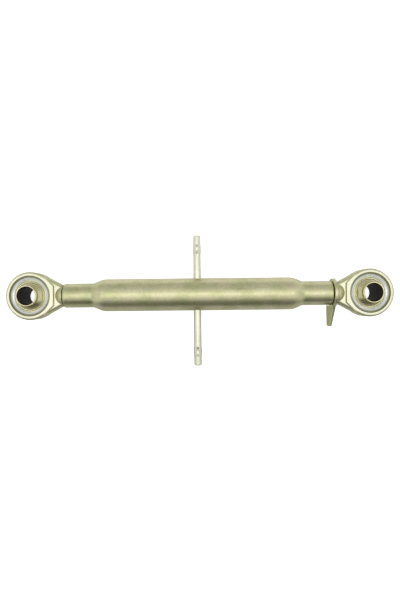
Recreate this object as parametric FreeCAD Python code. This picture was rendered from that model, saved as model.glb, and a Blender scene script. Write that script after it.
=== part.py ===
import FreeCAD, Part
import math
import os

# Adjustable three-point-hitch top link, fully screwed in, lying flat.
# Millimetres. The link's axis runs along X and the pin bores along Z.
# The origin is the centre of the left ball's pin bore; +X points to the right ball.

Vector = FreeCAD.Vector
ORIGIN = Vector(0, 0, 0)
X_AXIS = Vector(1, 0, 0)
Y_AXIS = Vector(0, 1, 0)
Z_AXIS = Vector(0, 0, 1)
FULL_TURN = 360
HALF_TURN = 180

# Swivel ball, bored for a category 2 top-link pin
PIN_BORE_DIAMETER = 25.7
BALL_WIDTH = 51.0
BALL_DIAMETER = 47.6
COLLAR_WALL = 1.95
BALL_EDGE_CHAMFER = 0.5

# Split race that holds the ball
SOCKET_CLEARANCE = 0.3
RACE_WALL = 3.2
RACE_RECESS = 0.8
RACE_BEVEL_DEPTH = 1.3
RACE_BEVEL_WIDTH = 2.5
RACE_CHAMFER = 1.3
RACE_SPLIT_GAP = 0.1

# Forged eye
EYE_WALL = 7.3
EYE_THICKNESS = 26.0
EYE_EDGE_RADIUS = 3.2
STAKED_LIP_WIDTH = 1.9
BOSS_END_TRIM = 1.1
BOSS_CORNER_TRIM = 1.4
BOSS_DRAFT = 1.2

# Neck between the eye and the screw
CHEEK_THICKNESS = 20.0
CHEEK_EDGE_RADIUS = 4.4
NECK_LENGTH = 46.1
SHOULDER_DIAMETER = 32.8
SHOULDER_LAND = 2.0
SHOULDER_CHAMFER = 0.6
NOSE_SETBACK = 10.3

# Screw, drawn plain at the root of its thread
THREAD_DIAMETER = 27.0
THREAD_PITCH = 3.0
THREAD_DEPTH_PER_PITCH = 0.6134
THREAD_CLEARANCE = 0.05
SCREW_LENGTH = 170.0
SCREW_END_CHAMFER = 2.0

# Swaged tube that the two screws run in
BARREL_LENGTH = 386.6
BARREL_DIAMETER = 47.0
BARREL_WALL = 5.0
BARREL_END_DIAMETER = 35.1
BARREL_END_LENGTH = 42.3
BARREL_TAPER_LENGTH = 13.7
BARREL_END_ROUNDING = 1.8
TAPER_SMALL_FILLET = 8.0
TAPER_LARGE_FILLET = 26.0
NUT_THREAD_LENGTH = 44.0
NUT_THREAD_CHAMFER = 2.2
BORE_TAPER_LENGTH = 17.0

# Gaps when the link is screwed right in
LEFT_SHOULDER_GAP = 1.4
LOCK_NUT_GAP = 0.6
RIGHT_SHOULDER_GAP = 1.4

# Lock nut with its lever
LOCK_NUT_DIAMETER = 42.3
LOCK_NUT_THICKNESS = 4.8
LOCK_NUT_ROUNDING = 1.1
LEVER_REACH = 48.5
LEVER_ROOT_CLEARANCE = 0.5
LEVER_ROOT_WIDTH = 12.2
LEVER_ROOT_DEPTH = 8.6
LEVER_TIP_WIDTH = 5.9
LEVER_TIP_DEPTH = 6.1
LEVER_CORNER_RADIUS = 1.3
LEVER_TIP_ROUNDING = 4.1
LEVER_TWIST = 43.0
LEVER_ROOT_OFFSET = -0.4
LEVER_LEAN = 3.15

# Tommy bar that turns the barrel
BAR_DIAMETER = 11.0
BAR_LENGTH = 188.8
BAR_OFFSET = 8.9
BAR_HOLE_OFFSET = 1.1
BAR_CLEARANCE = 0.25
BAR_END_CHAMFER = 1.3
SWAGE_INSET = 20.6
SWAGE_LENGTH = 14.5
SWAGE_SWELL = 0.6
DISH_LENGTH = 13.0
DISH_DEPTH = 1.6
DISH_PUNCH_RADIUS = 4.0

# Worked-out sizes
bore_radius = PIN_BORE_DIAMETER / 2
collar_radius = bore_radius + COLLAR_WALL
ball_radius = BALL_DIAMETER / 2
socket_radius = ball_radius + SOCKET_CLEARANCE
race_radius = socket_radius + RACE_WALL
race_face = EYE_THICKNESS / 2 - RACE_RECESS
eye_radius = race_radius + EYE_WALL
shoulder_radius = SHOULDER_DIAMETER / 2
screw_radius = THREAD_DIAMETER / 2 - THREAD_DEPTH_PER_PITCH * THREAD_PITCH
thread_bore_radius = screw_radius + THREAD_CLEARANCE
barrel_end_radius = BARREL_END_DIAMETER / 2
barrel_start = NECK_LENGTH + LEFT_SHOULDER_GAP
barrel_end = barrel_start + BARREL_LENGTH
lock_nut_face = barrel_end + LOCK_NUT_GAP
right_shoulder = lock_nut_face + LOCK_NUT_THICKNESS + RIGHT_SHOULDER_GAP
ball_to_ball = right_shoulder + NECK_LENGTH


def corner_arc(before, corner, after, radius):
    """Return the tangent arc that rounds one corner of an outline."""
    to_before = (before - corner).normalize()
    to_after = (after - corner).normalize()
    half_angle = to_before.getAngle(to_after) / 2
    reach = radius / math.tan(half_angle)
    middle_reach = radius / math.sin(half_angle) - radius
    bisector = (to_before + to_after).normalize()
    start = corner + to_before * reach
    middle = corner + bisector * middle_reach
    end = corner + to_after * reach
    return Part.Arc(start, middle, end).toShape()


def outline_face(corners):
    """Make a face from (point, corner radius) pairs, rounding each corner that has a radius."""
    pieces = []
    count = len(corners)
    for index, (point, radius) in enumerate(corners):
        before = corners[index - 1][0]
        after = corners[(index + 1) % count][0]
        pieces.append(corner_arc(before, point, after, radius) if radius else Part.Vertex(point))
    edges = []
    for index, piece in enumerate(pieces):
        following = pieces[(index + 1) % count]
        if piece.ShapeType == "Edge":
            edges.append(piece)
        start = piece.Vertexes[-1].Point
        end = following.Vertexes[0].Point
        edges.append(Part.makeLine(start, end))
    return Part.Face(Part.Wire(edges))


def turned_about_x(profile):
    """Revolve (x, radius, corner radius) points about the X axis."""
    corners = [(Vector(x, radius, 0), rounding) for x, radius, rounding in profile]
    return outline_face(corners).revolve(ORIGIN, X_AXIS, FULL_TURN)


def mirrored_ends(half_profile, length):
    """Repeat a profile's left-hand end at its right-hand end."""
    right_half = [(length - x, radius, rounding) for x, radius, rounding in reversed(half_profile)]
    return half_profile + right_half


def moved(shape, x=0.0, y=0.0):
    """Return the shape moved along X and Y."""
    result = shape.copy()
    result.translate(Vector(x, y, 0))
    return result


def at_right_end(shape):
    """Turn a left-end piece end for end and put it at the right ball."""
    result = shape.copy()
    result.rotate(ORIGIN, Z_AXIS, HALF_TURN)
    return moved(result, ball_to_ball)


def swivel_ball():
    """Sphere with a flat-faced collar at each side and a pin bore through them."""
    face = BALL_WIDTH / 2
    chamfer = BALL_EDGE_CHAMFER
    collar_root = math.sqrt(ball_radius ** 2 - collar_radius ** 2)
    collar = [
        (bore_radius, face - chamfer),
        (bore_radius + chamfer, face),
        (collar_radius - chamfer, face),
        (collar_radius, face - chamfer),
        (collar_radius, collar_root),
    ]
    upper = [Vector(radius, 0, z) for radius, z in collar]
    lower = [Vector(radius, 0, -z) for radius, z in reversed(collar)]
    edges = [Part.makeLine(a, b) for a, b in zip(upper, upper[1:])]
    edges.append(Part.Arc(upper[-1], Vector(ball_radius, 0, 0), lower[0]).toShape())
    edges += [Part.makeLine(a, b) for a, b in zip(lower, lower[1:])]
    edges.append(Part.makeLine(lower[-1], upper[0]))
    return Part.Face(Part.Wire(edges)).revolve(ORIGIN, Z_AXIS, FULL_TURN)


def race_half():
    """Upper half of the race: a ring hollowed to the ball, bevelled inside and chamfered outside."""
    split = RACE_SPLIT_GAP / 2
    edge_height = race_face - RACE_BEVEL_DEPTH
    middle_height = (split + edge_height) / 2
    edge_radius = math.sqrt(socket_radius ** 2 - edge_height ** 2)
    middle_radius = math.sqrt(socket_radius ** 2 - middle_height ** 2)
    equator_radius = math.sqrt(socket_radius ** 2 - split ** 2)
    hollow = Part.Arc(
        Vector(equator_radius, 0, split),
        Vector(middle_radius, 0, middle_height),
        Vector(edge_radius, 0, edge_height),
    )
    outside = [
        Vector(edge_radius, 0, edge_height),
        Vector(edge_radius + RACE_BEVEL_WIDTH, 0, race_face),
        Vector(race_radius - RACE_CHAMFER, 0, race_face),
        Vector(race_radius, 0, race_face - RACE_CHAMFER),
        Vector(race_radius, 0, split),
        Vector(equator_radius, 0, split),
    ]
    edges = [hollow.toShape()]
    edges += [Part.makeLine(a, b) for a, b in zip(outside, outside[1:])]
    return Part.Face(Part.Wire(edges)).revolve(ORIGIN, Z_AXIS, FULL_TURN)


def teardrop(thickness, edge_radius):
    """Plate with the outline of eye and neck, round at the back, with its long edges rolled."""
    half = thickness / 2
    end = NECK_LENGTH - SHOULDER_LAND
    cheek_land = CHEEK_THICKNESS / 2 - CHEEK_EDGE_RADIUS
    end_half_width = math.sqrt(shoulder_radius ** 2 - cheek_land ** 2)
    distance = math.hypot(end, end_half_width)
    flank_angle = math.asin(eye_radius / distance) - math.atan2(end_half_width, end)
    tangent = Vector(eye_radius * math.sin(flank_angle), eye_radius * math.cos(flank_angle), -half)
    corner = Vector(end, end_half_width, -half)
    back = Vector(-eye_radius, 0, -half)
    low_tangent = Vector(tangent.x, -tangent.y, -half)
    low_corner = Vector(corner.x, -corner.y, -half)
    edges = [
        Part.Arc(tangent, back, low_tangent).toShape(),
        Part.makeLine(low_tangent, low_corner),
        Part.makeLine(low_corner, corner),
        Part.makeLine(corner, tangent),
    ]
    plate = Part.Face(Part.Wire(edges)).extrude(Z_AXIS * thickness)
    return plate.makeFillet(edge_radius, rim_edges(plate, end))


def rim_edges(plate, end):
    """Return the plate's upper and lower outline edges, but not those of its flat end."""
    def is_rim(edge):
        box = edge.BoundBox
        level = box.ZLength < Part.Precision.confusion()
        return level and box.XMin < end - Part.Precision.confusion()
    return [edge for edge in plate.Edges if is_rim(edge)]


def boss_section(height, draft):
    """Outline of the boss's end at one height: one flat square to the neck and two at 45 degrees."""
    end = eye_radius - BOSS_END_TRIM + draft
    corner = (eye_radius - BOSS_CORNER_TRIM + draft) * math.sqrt(2) - end
    back = -2 * eye_radius
    spread = corner + end - back
    points = [
        Vector(end, -corner, height),
        Vector(end, corner, height),
        Vector(back, spread, height),
        Vector(back, -spread, height),
    ]
    return Part.makePolygon(points + points[:1])


def eye_boss():
    """Thick boss round the race, ended by three drafted flats where the thinner neck leaves it."""
    half = EYE_THICKNESS / 2
    cheek = CHEEK_THICKNESS / 2
    base = Part.Face(boss_section(-cheek, BOSS_DRAFT)).extrude(Z_AXIS * CHEEK_THICKNESS)
    top = Part.makeLoft([boss_section(cheek, BOSS_DRAFT), boss_section(half, 0)], True, True)
    bottom = top.mirror(ORIGIN, Z_AXIS)
    return teardrop(EYE_THICKNESS, EYE_EDGE_RADIUS).common(base.fuse([top, bottom]))


def shoulder():
    """Ball-shaped shoulder behind the screw, whose nose runs out into the cheeks."""
    cheek = CHEEK_THICKNESS / 2
    centre = NECK_LENGTH - NOSE_SETBACK + math.sqrt(shoulder_radius ** 2 - cheek ** 2)
    rim = NECK_LENGTH - SHOULDER_CHAMFER
    rim_radius = math.sqrt(shoulder_radius ** 2 - (centre - rim) ** 2)
    half_turn = math.atan2(rim_radius, centre - rim) / 2
    back = Vector(centre - shoulder_radius, 0, 0)
    middle_run = shoulder_radius * math.cos(half_turn)
    middle = Vector(centre - middle_run, shoulder_radius * math.sin(half_turn), 0)
    sides = [
        Vector(rim, rim_radius, 0),
        Vector(NECK_LENGTH, rim_radius - SHOULDER_CHAMFER, 0),
        Vector(NECK_LENGTH, 0, 0),
        back,
    ]
    edges = [Part.Arc(back, middle, sides[0]).toShape()]
    edges += [Part.makeLine(a, b) for a, b in zip(sides, sides[1:])]
    return Part.Face(Part.Wire(edges)).revolve(ORIGIN, X_AXIS, FULL_TURN)


def screw():
    """Long screw, plain at its root diameter, from inside the shoulder to its chamfered end."""
    end = NECK_LENGTH + SCREW_LENGTH
    profile = [
        (NECK_LENGTH - SHOULDER_LAND, 0, 0),
        (NECK_LENGTH - SHOULDER_LAND, screw_radius, 0),
        (end - SCREW_END_CHAMFER, screw_radius, 0),
        (end, screw_radius - SCREW_END_CHAMFER, 0),
        (end, 0, 0),
    ]
    return turned_about_x(profile)


def race_seat():
    """Space bored through the eye for the race, opening out to the staked lip at both faces."""
    face = EYE_THICKNESS / 2
    lip_root = race_face - RACE_CHAMFER
    lip_radius = race_radius + STAKED_LIP_WIDTH
    points = [
        Vector(0, 0, face),
        Vector(lip_radius, 0, face),
        Vector(race_radius, 0, lip_root),
        Vector(race_radius, 0, -lip_root),
        Vector(lip_radius, 0, -face),
        Vector(0, 0, -face),
    ]
    return Part.Face(Part.makePolygon(points + points[:1])).revolve(ORIGIN, Z_AXIS, FULL_TURN)


def forged_eye():
    """One forging: boss, neck, shoulder and screw, bored for the race."""
    neck = teardrop(CHEEK_THICKNESS, CHEEK_EDGE_RADIUS)
    forging = eye_boss().fuse([neck, shoulder(), screw()])
    return forging.cut(race_seat()).removeSplitter()


def barrel():
    """Tube swaged down to a threaded nut at each end and cross-drilled for the tommy bar."""
    taper_end = BARREL_END_LENGTH + BARREL_TAPER_LENGTH
    outside = [
        (0, barrel_end_radius, BARREL_END_ROUNDING),
        (BARREL_END_LENGTH, barrel_end_radius, TAPER_SMALL_FILLET),
        (taper_end, BARREL_DIAMETER / 2, TAPER_LARGE_FILLET),
    ]
    inside = [
        (0, thread_bore_radius + NUT_THREAD_CHAMFER, 0),
        (NUT_THREAD_CHAMFER, thread_bore_radius, 0),
        (NUT_THREAD_LENGTH, thread_bore_radius, 0),
        (NUT_THREAD_LENGTH + BORE_TAPER_LENGTH, BARREL_DIAMETER / 2 - BARREL_WALL, 0),
    ]
    outer_line = mirrored_ends(outside, BARREL_LENGTH)
    inner_line = list(reversed(mirrored_ends(inside, BARREL_LENGTH)))
    tube = turned_about_x(outer_line + inner_line)
    hole_radius = BAR_DIAMETER / 2 + BAR_CLEARANCE
    hole_start = Vector(BARREL_LENGTH / 2 - BAR_HOLE_OFFSET, -BARREL_DIAMETER, 0)
    cross_hole = Part.makeCylinder(hole_radius, 2 * BARREL_DIAMETER, hole_start, Y_AXIS)
    return moved(tube.cut(cross_hole), barrel_start)


def lever_section(reach, width, depth, offset):
    """Rounded rectangle across the lever, twisted about the lever's length."""
    angle = math.radians(LEVER_TWIST)
    along = Vector(math.cos(angle), 0, math.sin(angle))
    across = Vector(-math.sin(angle), 0, math.cos(angle))
    centre = Vector(offset, -reach, 0)
    corners = []
    for side_along, side_across in ((-1, -1), (1, -1), (1, 1), (-1, 1)):
        point = centre + along * (side_along * width / 2) + across * (side_across * depth / 2)
        corners.append((point, LEVER_CORNER_RADIUS))
    return outline_face(corners).OuterWire


def lever_outline(root_reach, tip_offset):
    """Block with the lever's outline as seen from above, round at the tip."""
    turn = math.radians(LEVER_TWIST)
    root_half = (LEVER_ROOT_WIDTH * math.cos(turn) + LEVER_ROOT_DEPTH * math.sin(turn)) / 2
    tip_half = (LEVER_TIP_WIDTH * math.cos(turn) + LEVER_TIP_DEPTH * math.sin(turn)) / 2
    below = -LOCK_NUT_DIAMETER / 2
    corners = [
        (Vector(LEVER_ROOT_OFFSET - root_half, -root_reach, below), 0),
        (Vector(tip_offset - tip_half, -LEVER_REACH, below), LEVER_TIP_ROUNDING),
        (Vector(tip_offset + tip_half, -LEVER_REACH, below), LEVER_TIP_ROUNDING),
        (Vector(LEVER_ROOT_OFFSET + root_half, -root_reach, below), 0),
    ]
    return outline_face(corners).extrude(Z_AXIS * LOCK_NUT_DIAMETER)


def lever():
    """Tapering twisted lever that leans back over the barrel's end, with a rounded tip."""
    root_reach = barrel_end_radius + LEVER_ROOT_CLEARANCE
    tip_offset = LEVER_ROOT_OFFSET - LEVER_LEAN
    root = lever_section(root_reach, LEVER_ROOT_WIDTH, LEVER_ROOT_DEPTH, LEVER_ROOT_OFFSET)
    tip = lever_section(LEVER_REACH, LEVER_TIP_WIDTH, LEVER_TIP_DEPTH, tip_offset)
    arm = Part.makeLoft([root, tip], True, True)
    return arm.common(lever_outline(root_reach, tip_offset))


def lock_nut():
    """Thin round nut that jams on the barrel's end, with a lever to turn it by hand."""
    nut_radius = LOCK_NUT_DIAMETER / 2
    profile = [
        (0, thread_bore_radius, 0),
        (0, nut_radius, LOCK_NUT_ROUNDING),
        (LOCK_NUT_THICKNESS, nut_radius, LOCK_NUT_ROUNDING),
        (LOCK_NUT_THICKNESS, thread_bore_radius, 0),
    ]
    nut = turned_about_x(profile).fuse(lever())
    return moved(nut, lock_nut_face)


def swage():
    """Swollen stretch of the bar at one pressed stop."""
    half = SWAGE_LENGTH / 2
    bar_radius = BAR_DIAMETER / 2
    swollen_radius = bar_radius + SWAGE_SWELL
    arc = Part.Arc(
        Vector(bar_radius, -half, 0),
        Vector(swollen_radius, 0, 0),
        Vector(bar_radius, half, 0),
    )
    sides = [
        Vector(bar_radius, half, 0),
        Vector(0, half, 0),
        Vector(0, -half, 0),
        Vector(bar_radius, -half, 0),
    ]
    edges = [arc.toShape()]
    edges += [Part.makeLine(a, b) for a, b in zip(sides, sides[1:])]
    return Part.Face(Part.Wire(edges)).revolve(ORIGIN, Y_AXIS, FULL_TURN)


def swage_dishes():
    """Cutters for the long press marks above and below a swage, made with a round-edged punch."""
    half = DISH_LENGTH / 2
    punch_reach = (half ** 2 + DISH_DEPTH ** 2) / (2 * DISH_DEPTH)
    height = BAR_DIAMETER / 2 - DISH_DEPTH + punch_reach
    ring_radius = punch_reach - DISH_PUNCH_RADIUS
    cutters = []
    for side in (-1, 1):
        centre = Vector(0, 0, side * height)
        cutters.append(Part.makeTorus(ring_radius, DISH_PUNCH_RADIUS, centre, X_AXIS))
    return cutters


def tommy_bar():
    """Round bar, free to slide through the barrel between its two swages."""
    radius = BAR_DIAMETER / 2
    chamfer = BAR_END_CHAMFER
    half = BAR_LENGTH / 2
    points = [
        Vector(0, -half, 0),
        Vector(radius - chamfer, -half, 0),
        Vector(radius, chamfer - half, 0),
        Vector(radius, half - chamfer, 0),
        Vector(radius - chamfer, half, 0),
        Vector(0, half, 0),
    ]
    bar = Part.Face(Part.makePolygon(points + points[:1])).revolve(ORIGIN, Y_AXIS, FULL_TURN)
    for side in (-1, 1):
        swage_place = side * (half - SWAGE_INSET)
        bar = bar.fuse(moved(swage(), 0, swage_place))
        bar = bar.cut([moved(cutter, 0, swage_place) for cutter in swage_dishes()])
    return moved(bar, barrel_start + BARREL_LENGTH / 2 - BAR_HOLE_OFFSET, -BAR_OFFSET)


def build_nodes():
    """Return every piece of the link by name."""
    eye = forged_eye()
    ball = swivel_ball()
    upper_race = race_half()
    lower_race = upper_race.mirror(ORIGIN, Z_AXIS)
    return {
        "barrel": barrel(),
        "tommy_bar": tommy_bar(),
        "lock_nut": lock_nut(),
        "left_eye": eye,
        "left_race_upper": upper_race,
        "left_race_lower": lower_race,
        "left_ball": ball,
        "right_eye": at_right_end(eye),
        "right_race_upper": at_right_end(upper_race),
        "right_race_lower": at_right_end(lower_race),
        "right_ball": at_right_end(ball),
    }


os.makedirs("parts", exist_ok=True)
for name, shape in build_nodes().items():
    shape.exportStep("parts/" + name + ".step")
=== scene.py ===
import math

import bmesh
import bpy
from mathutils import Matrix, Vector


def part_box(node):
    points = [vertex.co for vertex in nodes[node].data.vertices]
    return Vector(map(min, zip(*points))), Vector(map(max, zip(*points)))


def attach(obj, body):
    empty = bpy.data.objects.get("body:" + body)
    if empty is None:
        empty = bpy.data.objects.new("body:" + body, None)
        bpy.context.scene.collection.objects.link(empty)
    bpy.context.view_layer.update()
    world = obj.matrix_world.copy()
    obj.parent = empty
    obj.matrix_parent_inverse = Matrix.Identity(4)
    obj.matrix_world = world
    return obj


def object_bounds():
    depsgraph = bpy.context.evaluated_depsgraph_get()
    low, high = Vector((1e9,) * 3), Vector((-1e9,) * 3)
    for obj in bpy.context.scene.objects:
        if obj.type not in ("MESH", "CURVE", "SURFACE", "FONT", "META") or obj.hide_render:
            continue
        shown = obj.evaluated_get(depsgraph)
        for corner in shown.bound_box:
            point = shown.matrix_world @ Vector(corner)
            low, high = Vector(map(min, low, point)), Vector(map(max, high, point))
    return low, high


MM = 0.001

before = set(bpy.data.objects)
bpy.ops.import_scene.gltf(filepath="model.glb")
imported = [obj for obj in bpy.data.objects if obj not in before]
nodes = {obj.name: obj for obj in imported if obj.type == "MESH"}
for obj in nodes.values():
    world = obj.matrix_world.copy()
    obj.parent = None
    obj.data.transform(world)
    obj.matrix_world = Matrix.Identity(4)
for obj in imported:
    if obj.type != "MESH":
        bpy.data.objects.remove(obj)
cad_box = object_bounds()


# ---------------------------------------------------------------- places read from the imported parts

def centre_of(node):
    low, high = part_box(node)
    return (low + high) / 2


left_centre = centre_of("left_ball")
right_centre = centre_of("right_ball")
middle_x = (left_centre.x + right_centre.x) / 2
floor_height = cad_box[0].z


# ---------------------------------------------------------------- node graph helper

class Graph:
    """A material's node tree, with the few node patterns that the finishes share."""

    def __init__(self, name):
        self.material = bpy.data.materials.new(name)
        self.material.use_nodes = True
        self.tree = self.material.node_tree
        self.tree.nodes.clear()
        self.coordinates = self.tree.nodes.new("ShaderNodeTexCoord")
        self.place = self.coordinates.outputs["Object"]
        self.normal = self.coordinates.outputs["Normal"]

    def feed(self, target, value):
        if isinstance(value, bpy.types.NodeSocket):
            self.tree.links.new(value, target)
        else:
            target.default_value = value

    def node(self, kind, inputs, **settings):
        made = self.tree.nodes.new(kind)
        for key, value in settings.items():
            setattr(made, key, value)
        for key, value in inputs.items():
            self.feed(made.inputs[key], value)
        return made

    def math(self, operation, a, b=0.0, clamp=False):
        made = self.node("ShaderNodeMath", {0: a, 1: b}, operation=operation, use_clamp=clamp)
        return made.outputs[0]

    def vector(self, operation, a, b):
        made = self.node("ShaderNodeVectorMath", {0: a, 1: b}, operation=operation)
        return made.outputs["Vector"]

    def split(self, vector):
        return self.node("ShaderNodeSeparateXYZ", {0: vector}).outputs

    def step(self, value, low, high, to_low=0.0, to_high=1.0):
        """Smooth change from to_low to to_high as value goes from low to high."""
        made = self.node(
            "ShaderNodeMapRange",
            {"Value": value, "From Min": low, "From Max": high, "To Min": to_low, "To Max": to_high},
            interpolation_type="SMOOTHSTEP",
        )
        return made.outputs["Result"]

    def mix(self, factor, a, b, mode="MIX"):
        made = self.tree.nodes.new("ShaderNodeMix")
        made.data_type = "RGBA"
        made.blend_type = mode
        self.feed(made.inputs["Factor"], factor)
        self.feed(made.inputs["A"], a)
        self.feed(made.inputs["B"], b)
        return made.outputs["Result"]

    def grey(self, level):
        return self.node("ShaderNodeCombineColor", {0: level, 1: level, 2: level}).outputs[0]

    def stretched(self, x, y, z):
        return self.vector("MULTIPLY", self.place, (x, y, z))

    def noise(self, vector, scale, detail=3.0, roughness=0.55):
        made = self.node(
            "ShaderNodeTexNoise",
            {"Vector": vector, "Scale": scale, "Detail": detail, "Roughness": roughness},
        )
        return made.outputs["Fac"]

    def radius_about(self, centre):
        """Distance from the vertical line through centre."""
        away = self.vector("SUBTRACT", self.place, tuple(centre))
        flat = self.vector("MULTIPLY", away, (1.0, 1.0, 0.0))
        return self.node("ShaderNodeVectorMath", {0: flat}, operation="LENGTH").outputs["Value"]

    def rings(self, radius, per_mm):
        """Turning marks: unevenly spaced rings about an axis."""
        made = self.node(
            "ShaderNodeTexNoise",
            {"W": radius, "Scale": per_mm / MM, "Detail": 2.0, "Roughness": 0.6},
            noise_dimensions="1D",
        )
        return made.outputs["Fac"]

    def finish(self, colour, roughness, height, depth, metallic=1.0, coat=0.0, coat_roughness=0.2):
        bump = self.node(
            "ShaderNodeBump", {"Strength": 1.0, "Distance": depth, "Height": height}
        )
        shader = self.node(
            "ShaderNodeBsdfPrincipled",
            {
                "Base Color": colour,
                "Metallic": metallic,
                "Roughness": roughness,
                "Coat Weight": coat,
                "Coat Roughness": coat_roughness,
                "Normal": bump.outputs["Normal"],
            },
        )
        return self.output(shader)

    def output(self, shader):
        made = self.tree.nodes.new("ShaderNodeOutputMaterial")
        self.tree.links.new(shader.outputs[0], made.inputs["Surface"])
        return self.material


def rgba(r, g, b):
    return (r, g, b, 1.0)


# ---------------------------------------------------------------- finishes

STRAW = rgba(0.66, 0.62, 0.38)
OLIVE = rgba(0.52, 0.53, 0.27)
GREEN = rgba(0.56, 0.62, 0.40)
ROSE = rgba(0.66, 0.55, 0.46)
BARE_ZINC = rgba(0.80, 0.80, 0.74)
DULL = rgba(0.26, 0.23, 0.13)
# painted shade colours for the inside of the ball's bore
BORE_SHADE_DARK = rgba(0.035, 0.028, 0.018)
BORE_SHADE_BROWN = rgba(0.10, 0.08, 0.05)
GOLD = rgba(0.58, 0.50, 0.26)
# painted shade colours for the eye's recess wall
GROOVE_SHADE_BROWN = rgba(0.30, 0.27, 0.15)
GROOVE_SHADE_OLIVE = rgba(0.20, 0.20, 0.11)
# lit and shaded copies of the race steel, for painted highlight and painted shade
PAINTED_LIT_STEEL = rgba(0.93, 0.94, 0.96)
PAINTED_LIT_STEEL_GREENISH = rgba(0.84, 0.88, 0.84)
PAINTED_SHADED_STEEL = rgba(0.40, 0.41, 0.45)
PAINTED_SHADED_STEEL_GREENISH = rgba(0.34, 0.37, 0.34)
# painted shade colour for the lock nut's lever
LEVER_PAINTED_SHADE = rgba(0.55, 0.57, 0.50)

GROOVE_RADIUS = 29.25 * MM
GROOVE_BLUR = 0.15 * MM
BORE_EDGE_RADIUS = 13.6 * MM
BORE_WALL_RADIUS = 13.1 * MM
LEVER_START = -17.0 * MM
LEVER_FULL = -21.0 * MM


def chromate(g, seed, green=0.5, rose=0.3):
    """Passivated zinc: straw to olive in clouds, with faint green and rose bands."""
    moved = g.vector("ADD", g.place, (seed, seed * 0.7, seed * 1.3))
    clouds = g.noise(moved, 38.0, 3.0, 0.6)
    bands = g.noise(moved, 95.0, 4.0, 0.65)
    mottle = g.noise(moved, 420.0, 3.0, 0.6)
    colour = g.mix(g.step(clouds, 0.35, 0.68), STRAW, OLIVE)
    greened = g.math("MULTIPLY", g.step(bands, 0.52, 0.70), green)
    colour = g.mix(greened, colour, GREEN)
    blushed = g.math("MULTIPLY", g.step(bands, 0.46, 0.30), rose)
    colour = g.mix(blushed, colour, ROSE)
    shade = g.step(mottle, 0.25, 0.75, 0.88, 1.06)
    return g.mix(1.0, colour, g.grey(shade), "MULTIPLY")


def barrel_finish():
    g = Graph("barrel_yellow_zinc")
    colour = chromate(g, 0.0)
    streaks = g.noise(g.stretched(18.0, 420.0, 420.0), 1.0, 3.0, 0.6)
    colour = g.mix(g.step(streaks, 0.55, 0.80, 0.0, 0.25), colour, BARE_ZINC)
    colour = g.mix(g.step(streaks, 0.42, 0.22, 0.0, 0.30), colour, DULL)
    grain = g.noise(g.place, 1500.0, 2.0, 0.6)
    dents = g.noise(g.place, 120.0, 2.0, 0.5)
    roughness = g.step(grain, 0.2, 0.8, 0.30, 0.44)
    height = g.math("ADD", g.math("MULTIPLY", streaks, 0.35), g.math("MULTIPLY", grain, 0.25))
    height = g.math("ADD", height, g.math("MULTIPLY", dents, 0.6))
    return g.finish(colour, roughness, height, 0.06 * MM, coat=0.25, coat_roughness=0.25)


def eye_finish(side, centre):
    g = Graph(side + "_eye_yellow_zinc")
    colour = chromate(g, centre.x + 0.3)
    up = g.math("ABSOLUTE", g.split(g.normal)["Z"])
    face = g.step(up, 0.90, 0.99)
    radius = g.radius_about(centre)
    turned = g.rings(radius, 2.2)
    # flat faces are painted paler: real turning rings, plus a painted highlight where they face the
    # light above
    pale = g.mix(g.step(turned, 0.3, 0.7, 0.25, 0.55), colour, BARE_ZINC)
    colour = g.mix(face, colour, pale)
    # painted shade: the recess wall inside the groove radius is painted dark olive-brown
    groove_shade_mask = g.step(radius, GROOVE_RADIUS + GROOVE_BLUR, GROOVE_RADIUS - GROOVE_BLUR)
    painted_groove_shade = g.mix(g.step(turned, 0.35, 0.65), GROOVE_SHADE_BROWN, GROOVE_SHADE_OLIVE)
    colour = g.mix(groove_shade_mask, colour, painted_groove_shade)
    grain = g.noise(g.place, 1300.0, 3.0, 0.65)
    forged = g.noise(g.place, 260.0, 4.0, 0.6)
    rough_side = g.step(grain, 0.2, 0.8, 0.36, 0.52)
    rough_face = g.step(turned, 0.3, 0.7, 0.26, 0.36)
    roughness = g.node("ShaderNodeMix", {0: face, 2: rough_side, 3: rough_face}).outputs[0]
    side_height = g.math("ADD", g.math("MULTIPLY", forged, 1.2), g.math("MULTIPLY", grain, 0.35))
    face_height = g.math("ADD", g.math("MULTIPLY", turned, 0.18), g.math("MULTIPLY", grain, 0.12))
    height = g.node("ShaderNodeMix", {0: face, 2: side_height, 3: face_height}).outputs[0]
    return g.finish(colour, roughness, height, 0.10 * MM, coat=0.2, coat_roughness=0.3)


def race_finish(side, centre):
    g = Graph(side + "_race_bright_steel")
    radius = g.radius_about(centre)
    turned = g.rings(radius, 3.5)
    clouds = g.noise(g.place, 160.0, 3.0, 0.6)
    # painted light: flat faces take the painted shaded steel, the bevels the painted lit steel
    flat_face = g.step(g.math("ABSOLUTE", g.split(g.normal)["Z"]), 0.93, 0.98)
    cloudy = g.step(clouds, 0.35, 0.65)
    painted_lit = g.mix(cloudy, PAINTED_LIT_STEEL, PAINTED_LIT_STEEL_GREENISH)
    painted_shaded = g.mix(cloudy, PAINTED_SHADED_STEEL, PAINTED_SHADED_STEEL_GREENISH)
    colour = g.mix(flat_face, painted_lit, painted_shaded)
    grain = g.noise(g.place, 1600.0, 2.0, 0.6)
    roughness = g.step(turned, 0.3, 0.7, 0.20, 0.32)
    height = g.math("ADD", g.math("MULTIPLY", turned, 0.3), g.math("MULTIPLY", grain, 0.1))
    return g.finish(colour, roughness, height, 0.05 * MM)


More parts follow.
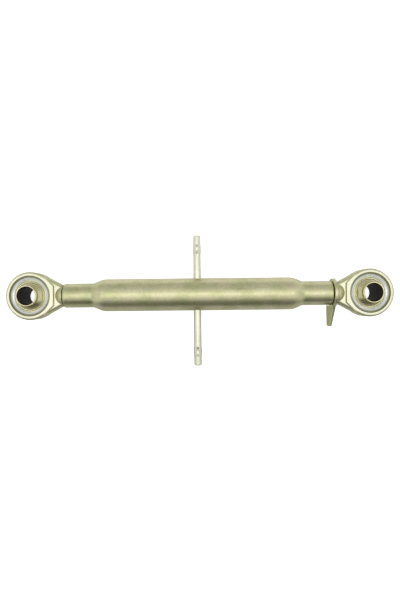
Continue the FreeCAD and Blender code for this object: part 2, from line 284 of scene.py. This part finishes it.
def ball_finish(side, centre):
    g = Graph(side + "_ball_golden_zinc")
    colour = chromate(g, centre.x + 1.1, green=0.2, rose=0.5)
    colour = g.mix(0.35, colour, GOLD)
    radius = g.radius_about(centre)
    # painted shade: the bore wall is painted near black to brown in blotches
    bore = g.step(radius, BORE_EDGE_RADIUS, BORE_WALL_RADIUS)
    blotch = g.noise(g.place, 330.0, 4.0, 0.7)
    painted_bore_shade = g.mix(g.step(blotch, 0.4, 0.65), BORE_SHADE_DARK, BORE_SHADE_BROWN)
    colour = g.mix(bore, colour, painted_bore_shade)
    grain = g.noise(g.place, 1400.0, 2.0, 0.6)
    roughness = g.step(grain, 0.2, 0.8, 0.18, 0.30)
    roughness = g.math("ADD", roughness, g.math("MULTIPLY", bore, 0.35))
    height = g.math("MULTIPLY", grain, 0.2)
    return g.finish(colour, roughness, height, 0.04 * MM, coat=0.2, coat_roughness=0.15)


def nut_finish():
    g = Graph("lock_nut_yellow_zinc")
    colour = chromate(g, 2.2, green=0.7, rose=0.6)
    # painted shade: the lever below the nut is painted darker
    lever_shade_mask = g.step(g.split(g.place)["Y"], LEVER_START, LEVER_FULL)
    colour = g.mix(lever_shade_mask, colour, g.mix(1.0, colour, LEVER_PAINTED_SHADE, "MULTIPLY"))
    grain = g.noise(g.place, 1300.0, 3.0, 0.65)
    cast = g.noise(g.place, 300.0, 3.0, 0.6)
    roughness = g.step(grain, 0.2, 0.8, 0.28, 0.42)
    height = g.math("ADD", g.math("MULTIPLY", cast, 0.8), g.math("MULTIPLY", grain, 0.25))
    return g.finish(colour, roughness, height, 0.08 * MM, coat=0.25, coat_roughness=0.2)


def bar_finish():
    g = Graph("tommy_bar_pale_zinc")
    colour = chromate(g, 3.1, green=0.3, rose=0.3)
    colour = g.mix(0.5, colour, BARE_ZINC)
    lines = g.noise(g.stretched(700.0, 25.0, 700.0), 1.0, 3.0, 0.6)
    grain = g.noise(g.place, 1500.0, 2.0, 0.6)
    roughness = g.step(lines, 0.2, 0.8, 0.22, 0.36)
    height = g.math("ADD", g.math("MULTIPLY", lines, 0.3), g.math("MULTIPLY", grain, 0.2))
    return g.finish(colour, roughness, height, 0.05 * MM, coat=0.2, coat_roughness=0.2)


def dress(node, material):
    for entry in nodes[node].material_slots:
        entry.material = material


dress("barrel", barrel_finish())
dress("tommy_bar", bar_finish())
dress("lock_nut", nut_finish())
eye_materials = {}
for side, centre in (("left", left_centre), ("right", right_centre)):
    eye_materials[side] = eye_finish(side, centre)
    dress(side + "_eye", eye_materials[side])
    race = race_finish(side, centre)
    dress(side + "_race_upper", race)
    dress(side + "_race_lower", race)
    dress(side + "_ball", ball_finish(side, centre))


# ---------------------------------------------------------------- screw threads

THREAD_PITCH = 3.0 * MM
THREAD_CREST_RADIUS = 13.45 * MM
THREAD_ROOT_RADIUS = 11.60 * MM
CREST_WIDTH = 0.38 * MM
ROOT_WIDTH = 2.55 * MM
SEGMENTS_PER_TURN = 40
NECK_TO_THREAD = 47.2 * MM
BALL_TO_SCREW_END = 214.6 * MM
RUN_OUT_TURNS = 0.6
LEAST_RISE = 0.02


def thread(name, body, centre, towards, hand, material):
    """A closed helical ridge on a screw's core.

    towards is +1 or -1 along X, and hand is +1 for a right-hand thread.
    """
    length = BALL_TO_SCREW_END - NECK_TO_THREAD - THREAD_PITCH
    turns = length / THREAD_PITCH
    count = int(turns * SEGMENTS_PER_TURN)
    mesh = bmesh.new()
    previous = None
    for i in range(count + 1):
        turn = i / SEGMENTS_PER_TURN
        angle = math.tau * turn * hand * towards
        middle = NECK_TO_THREAD + THREAD_PITCH * (0.5 + turn)
        left = turns - turn
        rise = min(1.0, turn / RUN_OUT_TURNS, left / RUN_OUT_TURNS)
        rise = max(rise, LEAST_RISE)
        crest = THREAD_ROOT_RADIUS + (THREAD_CREST_RADIUS - THREAD_ROOT_RADIUS) * rise
        ring = []
        for offset, radius in (
            (-ROOT_WIDTH / 2, THREAD_ROOT_RADIUS),
            (-CREST_WIDTH / 2, crest),
            (CREST_WIDTH / 2, crest),
            (ROOT_WIDTH / 2, THREAD_ROOT_RADIUS),
        ):
            x = centre.x + towards * (middle + offset)
            ring.append(mesh.verts.new((x, radius * math.cos(angle), radius * math.sin(angle))))
        if previous:
            for j in range(4):
                k = (j + 1) % 4
                mesh.faces.new((previous[j], previous[k], ring[k], ring[j]))
        else:
            mesh.faces.new(ring)
        previous = ring
    mesh.faces.new(reversed(previous))
    bmesh.ops.recalc_face_normals(mesh, faces=mesh.faces)
    data = bpy.data.meshes.new(name)
    mesh.to_mesh(data)
    mesh.free()
    data.materials.append(material)
    piece = bpy.data.objects.new(name, data)
    bpy.context.scene.collection.objects.link(piece)
    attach(piece, body)


thread("left_screw_thread", "left_eye", left_centre, 1, -1, eye_materials["left"])
thread("right_screw_thread", "right_eye", right_centre, -1, 1, eye_materials["right"])


# ---------------------------------------------------------------- studio

FLOOR_SIZE = 6.0
FLOOR_GLOW = 0.90
NEAR_FLOOR_GLOW = 0.02
FAR_FLOOR_GLOW = 0.45


def floor_finish():
    """White paper, overexposed as the camera sees it and dimmer in the metal's reflections."""
    g = Graph("floor_paper")
    fibre = g.noise(g.place, 240.0, 4.0, 0.6)
    tone = g.step(fibre, 0.2, 0.8, 0.60, 0.62)
    colour = g.grey(tone)
    across = g.split(g.place)["Y"]
    reflected = g.step(across, -0.10, 0.14, NEAR_FLOOR_GLOW, FAR_FLOOR_GLOW)
    seen = g.tree.nodes.new("ShaderNodeLightPath").outputs["Is Camera Ray"]
    glow = g.node("ShaderNodeMix", {0: seen, 2: reflected, 3: FLOOR_GLOW}).outputs[0]
    shader = g.node(
        "ShaderNodeBsdfPrincipled",
        {
            "Base Color": colour,
            "Roughness": 0.9,
            "Specular IOR Level": 0.1,
            "Emission Color": rgba(1.0, 1.0, 1.0),
            "Emission Strength": glow,
        },
    )
    return g.output(shader)


def panel(name, width, depth, centre):
    half_width, half_depth = width / 2, depth / 2
    data = bpy.data.meshes.new(name)
    data.from_pydata(
        [
            (-half_width, -half_depth, 0), (half_width, -half_depth, 0),
            (half_width, half_depth, 0), (-half_width, half_depth, 0),
        ],
        [],
        [(0, 1, 2, 3)],
    )
    made = bpy.data.objects.new(name, data)
    made.location = centre
    bpy.context.scene.collection.objects.link(made)
    return made


floor = panel("floor", FLOOR_SIZE, FLOOR_SIZE, (middle_x, 0.0, floor_height))
floor.data.materials.append(floor_finish())


def softbox(name, width, depth, centre, radiance):
    """A rectangular lamp, facing down, whose face has the given radiance."""
    data = bpy.data.lights.new(name, "AREA")
    data.shape = "RECTANGLE"
    data.size = width
    data.size_y = depth
    data.energy = radiance * math.pi * width * depth
    lamp = bpy.data.objects.new(name, data)
    lamp.location = centre
    lamp.visible_camera = False
    bpy.context.scene.collection.objects.link(lamp)


KEY_WIDTH = 1.60
KEY_DEPTH = 0.40
KEY_HEIGHT = 0.95
KEY_RADIANCE = 0.75
ROOM_TOP = 0.95
ROOM_FAR_SIDE = 0.58
ROOM_NEAR_SIDE = 0.13

softbox("key_light", KEY_WIDTH, KEY_DEPTH, (middle_x, 0.0, KEY_HEIGHT), KEY_RADIANCE)


def room():
    """A pale studio, brightest overhead, with a dark side behind the photographer."""
    world = bpy.data.worlds.new("studio")
    world.use_nodes = True
    tree = world.node_tree

    def node(kind, inputs, **settings):
        made = tree.nodes.new(kind)
        for key, value in settings.items():
            setattr(made, key, value)
        for key, value in inputs.items():
            if isinstance(value, bpy.types.NodeSocket):
                tree.links.new(value, made.inputs[key])
            else:
                made.inputs[key].default_value = value
        return made

    def step(value, low, high, to_low, to_high):
        made = node(
            "ShaderNodeMapRange",
            {"Value": value, "From Min": low, "From Max": high, "To Min": to_low, "To Max": to_high},
            interpolation_type="SMOOTHSTEP",
        )
        return made.outputs["Result"]

    direction = tree.nodes.new("ShaderNodeTexCoord").outputs["Generated"]
    across = node("ShaderNodeSeparateXYZ", {0: direction}).outputs["Y"]
    near = step(across, -0.82, -0.42, ROOM_NEAR_SIDE / ROOM_TOP, 1.0)
    far = step(across, 0.30, 0.85, 1.0, ROOM_FAR_SIDE / ROOM_TOP)
    both = node("ShaderNodeMath", {0: near, 1: far}, operation="MULTIPLY").outputs[0]
    level = node("ShaderNodeMath", {0: both, 1: ROOM_TOP}, operation="MULTIPLY").outputs[0]
    seen = tree.nodes.new("ShaderNodeLightPath").outputs["Is Camera Ray"]
    shown = node("ShaderNodeMix", {0: seen, 2: level, 3: 1.0}).outputs[0]
    background = tree.nodes["Background"]
    background.inputs["Color"].default_value = rgba(0.98, 0.99, 1.0)
    tree.links.new(shown, background.inputs["Strength"])
    bpy.context.scene.world = world


room()
bpy.context.scene.view_settings.view_transform = "Standard"


# ---------------------------------------------------------------- camera

CAMERA_HEIGHT = 0.635
FIELD_PER_PIXEL = 1.457 * MM
LONG_SIDE_PIXELS = 600
SENSOR = 36.0
CAMERA_DRIFT = -8.3 * MM
CAMERA_ROLL = -0.61

camera_data = bpy.data.cameras.new("camera")
camera_data.sensor_width = SENSOR
camera_data.lens = SENSOR * CAMERA_HEIGHT / (LONG_SIDE_PIXELS * FIELD_PER_PIXEL)
camera = bpy.data.objects.new("camera", camera_data)
camera.location = (middle_x, CAMERA_DRIFT, CAMERA_HEIGHT)
camera.rotation_euler = (0.0, 0.0, math.radians(CAMERA_ROLL))
bpy.context.scene.collection.objects.link(camera)
bpy.context.scene.camera = camera
